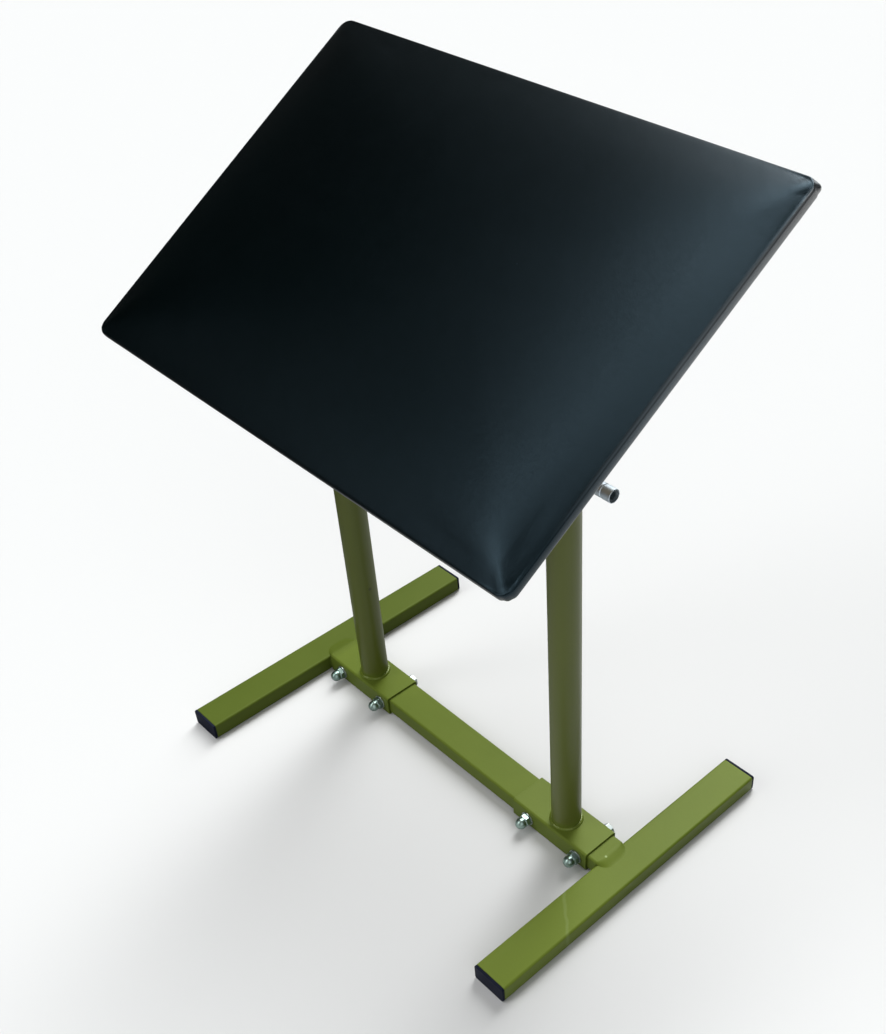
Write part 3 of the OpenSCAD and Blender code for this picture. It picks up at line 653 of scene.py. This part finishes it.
def roll(d, reach):
    """0 at the edge, 1 at reach and further in."""
    q = min(1.0, max(0.0, d / reach))
    return 1 - (1 - q) ** 1.85


def soft_min(a, b, k):
    h = max(k - abs(a - b), 0.0) / k
    return min(a, b) - h * h * k * 0.25


def crown(x, y):
    """A broad swell with a softer shoulder round the edge, pulled down a little more towards the corners."""
    dx, dy = max(HX - abs(x), 0.0), max(HY - abs(y), 0.0)
    broad = soft_min(roll(dx, 0.268), roll(dy, 0.178), 0.26)
    edge = soft_min(1 - math.exp(-dx / 0.0262), 1 - math.exp(-dy / 0.0262), 0.22)
    pull = math.exp(-max(dx, dy) / 0.085) * math.exp(-min(dx, dy) / 0.0095)
    full = 4.2 * MM * math.exp(-max(dx, dy) / 0.095) * (1 - math.exp(-max(soft_min(dx, dy, 0.03), 0.0) / 0.024))
    full *= (0.5 + 0.5 * math.tanh(x / 0.05)) * (0.5 - 0.5 * math.tanh((y + 0.02) / 0.05))
    lump = 0.35 * MM * noise.noise(Vector((x * 9, y * 9, 1.7))) * min(1.0, min(dx, dy) / 0.03)
    return TOP_EDGE + 6.9 * MM * max(edge, 0.0) + (RISE - 6.9 * MM) * max(broad, 0.0) - 1.5 * MM * pull + full + lump


def corner_round(x, y, hx, hy, r):
    ax, ay = abs(x) - (hx - r), abs(y) - (hy - r)
    if ax <= 0 or ay <= 0:
        return x, y
    a, b = ax / r, ay / r
    ax, ay = r * a * math.sqrt(1 - b * b / 2), r * b * math.sqrt(1 - a * a / 2)
    return math.copysign(hx - r + ax, x), math.copysign(hy - r + ay, y)


def grid_lines(half, edge=0.018, fine=0.0015, coarse=0.0055):
    k = int(round(edge / fine))
    outer = [half - edge + edge * i / k for i in range(k + 1)]
    m = int(round(2 * (half - edge) / coarse))
    inner = [-(half - edge) + 2 * (half - edge) * i / m for i in range(1, m)]
    return [-v for v in reversed(outer)] + inner + outer


def tuck(ang_pos, where, width):
    return math.exp(-((ang_pos - where) / width) ** 2)


def build_cushion():
    bm = bmesh.new()
    hx, hy, r = HX - SH, HY - SH, RC - SH
    xs, ys = grid_lines(hx), grid_lines(hy)
    grid = []
    for y in ys:
        row = []
        for x in xs:
            px, py = corner_round(x, y, hx, hy, r)
            row.append(bm.verts.new((px, py, crown(px, py))))
        grid.append(row)
    for j in range(len(ys) - 1):
        for i in range(len(xs) - 1):
            bm.faces.new((grid[j][i], grid[j][i + 1], grid[j + 1][i + 1], grid[j + 1][i]))
    nx, ny = len(xs), len(ys)
    loop = [grid[0][i] for i in range(nx)] + [grid[j][-1] for j in range(1, ny)]
    loop += [grid[-1][i] for i in range(nx - 2, -1, -1)] + [grid[j][0] for j in range(ny - 2, 0, -1)]
    top_count = len(bm.verts)

    def ring_point(v, o):
        """The rim vertex v moved out by o, with corners that never get sharper than 3 mm."""
        x, y = v.co.x, v.co.y
        cx, cy = hx - r, hy - r
        rr = max(r + o, 3 * MM)
        nx_, ny_ = hx + o - rr, hy + o - rr
        if abs(x) > cx and abs(y) > cy:
            d = Vector((abs(x) - cx, abs(y) - cy))
            d = d.normalized() if d.length > 1e-9 else Vector((1, 0))
            qx, qy = nx_ + rr * d.x, ny_ + rr * d.y
        elif abs(x) > cx or abs(x) >= hx - 1e-7:
            qx, qy = hx + o, abs(y) * ny_ / cy
        else:
            qx, qy = abs(x) * nx_ / cx, hy + o
        return math.copysign(qx, x), math.copysign(qy, y)

    def corner_angle(v):
        """Degrees round the nearest corner's arc from its middle, or None on the straights."""
        ax, ay = abs(v.co.x) - (hx - r), abs(v.co.y) - (hy - r)
        if ax < -6 * MM or ay < -6 * MM:
            return None
        ang = math.degrees(math.atan2(max(ay, 0.0), max(ax, 0.0))) - 45
        if ax < 0:
            ang += -math.degrees(ax / r) * 1.0
        if ay < 0:
            ang -= -math.degrees(ay / r) * 1.0
        return ang

    steps = []
    for a in (30, 60, 90):
        steps.append((SH * math.sin(math.radians(a)), TOP_EDGE + 0.3 * MM - SH * (1 - math.cos(math.radians(a)))))
    side_top = steps[-1][1]
    for f in (0.25, 0.5, 0.75):
        steps.append((SH + 0.25 * MM * math.sin(math.pi * f), side_top + (LOW + 1.8 * MM - side_top) * f))
    for a in (0, 30, 60, 90):
        steps.append((SH - 1.8 * MM * (1 - math.cos(math.radians(a))), LOW + 1.8 * MM * (1 - math.sin(math.radians(a)))))
    for d in (4, 7.5, 11, 14.5, 18, 21.5, 25, 28.5, 31.5):
        steps.append((SH - d * MM, LOW))
    steps += [(SH - HEM + 0.4 * MM, LOW), (SH - HEM, LOW + 0.35 * MM), (SH - HEM, BOARD_N + 0.2 * MM), (SH - HEM - 1 * MM, BOARD_N + 1.6 * MM)]
    rings = [loop]
    sx = (HX - 19 * MM) * 2 - 38 * MM
    sy = (HY - 19 * MM) * 2 - 38 * MM
    for k, (o, n) in enumerate(steps):
        ring = []
        for v in loop:
            x, y = ring_point(v, o)
            z = n
            ca = corner_angle(v)
            depth_in = SH - o
            if ca is not None:
                # small gathers that run from the underside up over the edge
                sign = 1 if v.co.x * v.co.y > 0 else -1
                g = tuck(ca, -22 * sign, 7) + 0.7 * tuck(ca, 14 * sign, 6)
                if v.co.x > 0 and v.co.y > 0 and k < 10:
                    cut = FOLD * (0.30, 0.22, 0.10, -0.25, -0.75, -1.0, -1.0, -1.0, -0.9, -0.7)[k] * tuck(ca, 4, 24)
                    x -= cut * math.cos(math.radians(45 + ca))
                    y -= cut * math.sin(math.radians(45 + ca))
                if depth_in < 3 * MM and k < 10:
                    up = k / 9.0
                    pull = (0.35 + 0.75 * up) * MM * g
                    d = Vector((x, y)) - Vector((math.copysign(hx - r, x), math.copysign(hy - r, y)))
                    d = d.normalized() if d.length > 1e-9 else Vector((0, 0))
                    x -= d.x * pull
                    y -= d.y * pull
                elif k >= 10 and depth_in < HEM - 0.5 * MM:
                    fade = math.exp(-((ca) / 60) ** 2)
                    z -= fade * (0.75 * MM * abs(math.sin(math.radians(ca * 3.6 + 20))) ** 1.5)
            elif 4 * MM <= depth_in <= HEM - 0.5 * MM:
                # the hem lies a little proud between its staples
                on_long = abs(abs(v.co.y) - hy) < 1e-5
                along, pitch = (x, sx / 7) if on_long else (y, sy / 4)
                phase = math.cos(2 * math.pi * (along / pitch + (0.5 if on_long else 0.0)))
                z -= 0.22 * MM * (1 - phase) * 0.5 * (1 + 0.4 * noise.noise(Vector((x * 40, y * 40, 3))))
            if depth_in > HEM - 3 * MM:
                wob = 0.5 * MM * noise.noise(Vector((x * 55, y * 55, 9)))
                x -= math.copysign(wob, x)
                y -= math.copysign(wob, y)
            ring.append(bm.verts.new((x, y, z)))
        rings.append(ring)
    for a, b in zip(rings, rings[1:]):
        for i in range(len(a)):
            j = (i + 1) % len(a)
            bm.faces.new((a[j], a[i], b[i], b[j]))
    bm.verts.index_update()
    bm.verts.ensure_lookup_table()
    # short gathers reach from the rim onto the top at each corner
    for v in bm.verts[:top_count]:
        x, y = v.co.x, v.co.y
        ax, ay = abs(x) - (hx - r), abs(y) - (hy - r)
        if ax > -26 * MM and ay > -26 * MM:
            px, py = HX - abs(x), HY - abs(y)
            ang = math.degrees(math.atan2(ay + 26 * MM, ax + 26 * MM)) - 45
            sign = 1 if x * y > 0 else -1
            dist = math.hypot(px, py)
            g = tuck(ang, -13 * sign, 4.5) + 0.6 * tuck(ang, 10 * sign, 4)
            v.co.z -= (0.35 if x > 0 > y else 0.8) * MM * g * math.exp(-(dist / (15 * MM)) ** 2)
            if x > 0 and y > 0:
                out = math.degrees(math.atan2(max(ay, 1e-6), max(ax, 1e-6))) - 45
                cut = 0.30 * FOLD * tuck(out, 4, 24) * math.exp(-min(px, py) / (7 * MM)) * math.exp(-(max(px, py) / (16 * MM)) ** 2)
                v.co.x -= cut * math.cos(math.radians(45 + out))
                v.co.y -= cut * math.sin(math.radians(45 + out))
                v.co.z -= 0.2 * cut
    free = set(range(top_count))
    return bm, free, rings


def inflate(ob, free, cap):
    """Cloth under pressure between its pinned edges, with each point's travel capped."""
    me = ob.data
    rest = [v.co.copy() for v in me.vertices]
    pins = ob.vertex_groups.new(name="held")
    pins.add([v.index for v in me.vertices if v.index not in free], 1.0, "REPLACE")
    mod = ob.modifiers.new("cloth", "CLOTH")
    st = mod.settings
    st.quality = 6
    st.mass = 0.25
    st.tension_stiffness = 30
    st.compression_stiffness = 30
    st.shear_stiffness = 12
    st.bending_stiffness = 12
    st.vertex_group_mass = "held"
    st.use_pressure = True
    st.uniform_pressure_force = 4.0
    st.shrink_min = 0.0015
    st.effector_weights.gravity = 0.0
    mod.collision_settings.use_collision = False
    mod.point_cache.frame_start, mod.point_cache.frame_end = 1, 20
    for f in range(1, 21):
        scene.frame_set(f)
    ev = ob.evaluated_get(bpy.context.evaluated_depsgraph_get())
    got = [v.co.copy() for v in ev.to_mesh().vertices]
    ev.to_mesh_clear()
    ob.modifiers.remove(mod)
    scene.frame_set(1)
    move = []
    for a, b in zip(rest, got):
        d = b - a
        if d.length > cap:
            d *= cap / d.length
        move.append(d)
    ring = [[] for _ in me.vertices]
    for e in me.edges:
        i, j = e.vertices
        ring[i].append(j)
        ring[j].append(i)
    for _ in range(45):
        nxt = []
        for i, d in enumerate(move):
            if i in free and ring[i]:
                s = Vector((0, 0, 0))
                for j in ring[i]:
                    s += move[j]
                nxt.append(d * 0.5 + s * (0.5 / len(ring[i])))
            else:
                nxt.append(d)
        move = nxt
    for v, a, d in zip(me.vertices, rest, move):
        v.co = a + (d if v.index in free else Vector((0, 0, 0)))
    ob.vertex_groups.remove(pins)
    return max(d.length for d in move)


bm, free, rings = build_cushion()
me = bpy.data.meshes.new("pad_cushion")
bmesh.ops.recalc_face_normals(bm, faces=bm.faces)
bm.to_mesh(me)
bm.free()
for p in me.polygons:
    p.use_smooth = True
cushion = bpy.data.objects.new("pad_cushion", me)
scene.collection.objects.link(cushion)
me.materials.append(MAT["leatherette"])
inflate(cushion, free, 2.0 * MM)
sub = cushion.modifiers.new("smooth", "SUBSURF")
sub.levels = sub.render_levels = 1
bpy.context.view_layer.update()
smooth = bpy.data.meshes.new_from_object(cushion.evaluated_get(bpy.context.evaluated_depsgraph_get()))
cushion.modifiers.clear()
bm = bmesh.new()
bm.from_mesh(smooth)
# the shell closes inside the board, out of sight, once it is smooth
rim = [e for e in bm.edges if e.is_boundary]
centre = bm.verts.new((0, 0, BOARD_N + 3 * MM))
for e in rim:
    bm.faces.new((*e.verts, centre))
bmesh.ops.recalc_face_normals(bm, faces=bm.faces)
bm.to_mesh(me)
bm.free()
bpy.data.meshes.remove(smooth)
for p in me.polygons:
    p.use_smooth = True
me.transform(PAD)
bpy.context.view_layer.update()
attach(cushion, "pad")
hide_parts("pad_cover", "pad_foam")


# ---- floor, light and camera ------------------------------------------------------------

def lit(tree, op, *vals):
    n = tree.nodes.new("ShaderNodeMath")
    n.operation = op
    for i, v in enumerate(vals):
        if isinstance(v, bpy.types.NodeSocket):
            tree.links.new(v, n.inputs[i])
        else:
            n.inputs[i].default_value = v
    return n.outputs[0]


# a plain pale floor; its bounce light is held down, as on the dull floor of a room
m = bpy.data.materials.new("floor_plain")
m.use_nodes = True
t = m.node_tree
shader = next(n for n in t.nodes if n.type == "BSDF_PRINCIPLED")
shader.inputs["Roughness"].default_value = 0.85
shader.inputs["Specular IOR Level"].default_value = 0.0
way = t.nodes.new("ShaderNodeLightPath")
pick = t.nodes.new("ShaderNodeMix")
pick.data_type = "RGBA"
t.links.new(way.outputs["Is Diffuse Ray"], pick.inputs[0])
pick.inputs[6].default_value = (0.70, 0.70, 0.70, 1)
pick.inputs[7].default_value = (0.30, 0.30, 0.29, 1)
# in reflections the floor is painted from dark at the left to pale at the right: painted light that shapes the
# reflections on the stand
place = t.nodes.new("ShaderNodeSeparateXYZ")
t.links.new(t.nodes.new("ShaderNodeTexCoord").outputs["Object"], place.inputs[0])
fade = t.nodes.new("ShaderNodeMapRange")
t.links.new(place.outputs[0], fade.inputs["Value"])
fade.inputs["From Min"].default_value, fade.inputs["From Max"].default_value = -0.55, 0.25
fade.inputs["To Min"].default_value, fade.inputs["To Max"].default_value = 0.06, 0.80
shine = t.nodes.new("ShaderNodeMix")
shine.data_type = "RGBA"
t.links.new(way.outputs["Is Glossy Ray"], shine.inputs[0])
t.links.new(pick.outputs[2], shine.inputs[6])
t.links.new(fade.outputs[0], shine.inputs[7])
t.links.new(shine.outputs[2], shader.inputs["Base Color"])
bm = bmesh.new()
rings = [[Vector((r * math.cos(2 * math.pi * i / 64), r * math.sin(2 * math.pi * i / 64), 0)) for i in range(64)]
         for r in (40.0, 12.0, 4.0, 1.2, 0.4, 0.05)]
vs = loft(bm, rings, cap_ends=False)
bm.faces.new(vs[-1])
bmesh.ops.recalc_face_normals(bm, faces=bm.faces)
if sum(f.normal.z for f in bm.faces) < 0:
    bmesh.ops.reverse_faces(bm, faces=bm.faces)
me = bpy.data.meshes.new("floor")
bm.to_mesh(me)
bm.free()
me.materials.append(m)
floor = bpy.data.objects.new("floor", me)
scene.collection.objects.link(floor)

# soft studio light: a long patch overhead and behind, with smaller and fainter ones at the left and right
world = bpy.data.worlds.new("studio")
scene.world = world
world.use_nodes = True
t = world.node_tree
bg = t.nodes["Background"]
axes = t.nodes.new("ShaderNodeSeparateXYZ")
t.links.new(t.nodes.new("ShaderNodeTexCoord").outputs["Generated"], axes.inputs[0])
total = 0.002
for power, cx, cy, wx, wy in ((12.9, -0.262, 0.410, 0.106, 0.340), (4.9, -0.340, 0.619, 0.115, 0.150),
                              (4.0, -0.360, -0.660, 0.108, 0.120), (1.4, 0.66, -0.42, 0.28, 0.30),
                              (1.4, -0.20, -0.88, 0.16, 0.10), (2.2, -0.375, -0.490, 0.085, 0.135),
                              (0.07, -0.885, 0.273, 0.10, 0.14)):
    u = lit(t, "DIVIDE", lit(t, "SUBTRACT", axes.outputs[0], cx), wx)
    v = lit(t, "DIVIDE", lit(t, "SUBTRACT", axes.outputs[1], cy), wy)
    r2 = lit(t, "ADD", lit(t, "MULTIPLY", u, u), lit(t, "MULTIPLY", v, v))
    lobe = lit(t, "MULTIPLY", lit(t, "EXPONENT", lit(t, "MULTIPLY", r2, -0.5)), power)
    total = lit(t, "ADD", lobe, total)
above = lit(t, "GREATER_THAN", axes.outputs[2], 0.0)
total = lit(t, "MULTIPLY", total, above)
way = t.nodes.new("ShaderNodeLightPath")
seen = lit(t, "ADD", lit(t, "MULTIPLY", total, lit(t, "SUBTRACT", 1.0, way.outputs["Is Camera Ray"])),
           lit(t, "MULTIPLY", way.outputs["Is Camera Ray"], 0.86))
t.links.new(seen, bg.inputs["Strength"])
bg.inputs["Color"].default_value = (0.985, 1.0, 1.0, 1)

cam_data = bpy.data.cameras.new("camera")
cam = bpy.data.objects.new("camera", cam_data)
scene.collection.objects.link(cam)
cam_data.sensor_fit = "AUTO"
cam_data.sensor_width = 36.0
cam_data.lens = 44.40869
cam_data.shift_x, cam_data.shift_y = -0.095478, 0.108262
cam_data.clip_start, cam_data.clip_end = 0.05, 60
rot = Matrix(((0.69864, -0.468682, 0.540592), (0.715224, 0.477444, -0.510394), (-0.01889, 0.743226, 0.668774)))
cam.matrix_world = Matrix.Translation((0.78106, -0.61399, 1.07969)) @ rot.to_4x4()
scene.camera = cam
scene.view_settings.view_transform = "Standard"
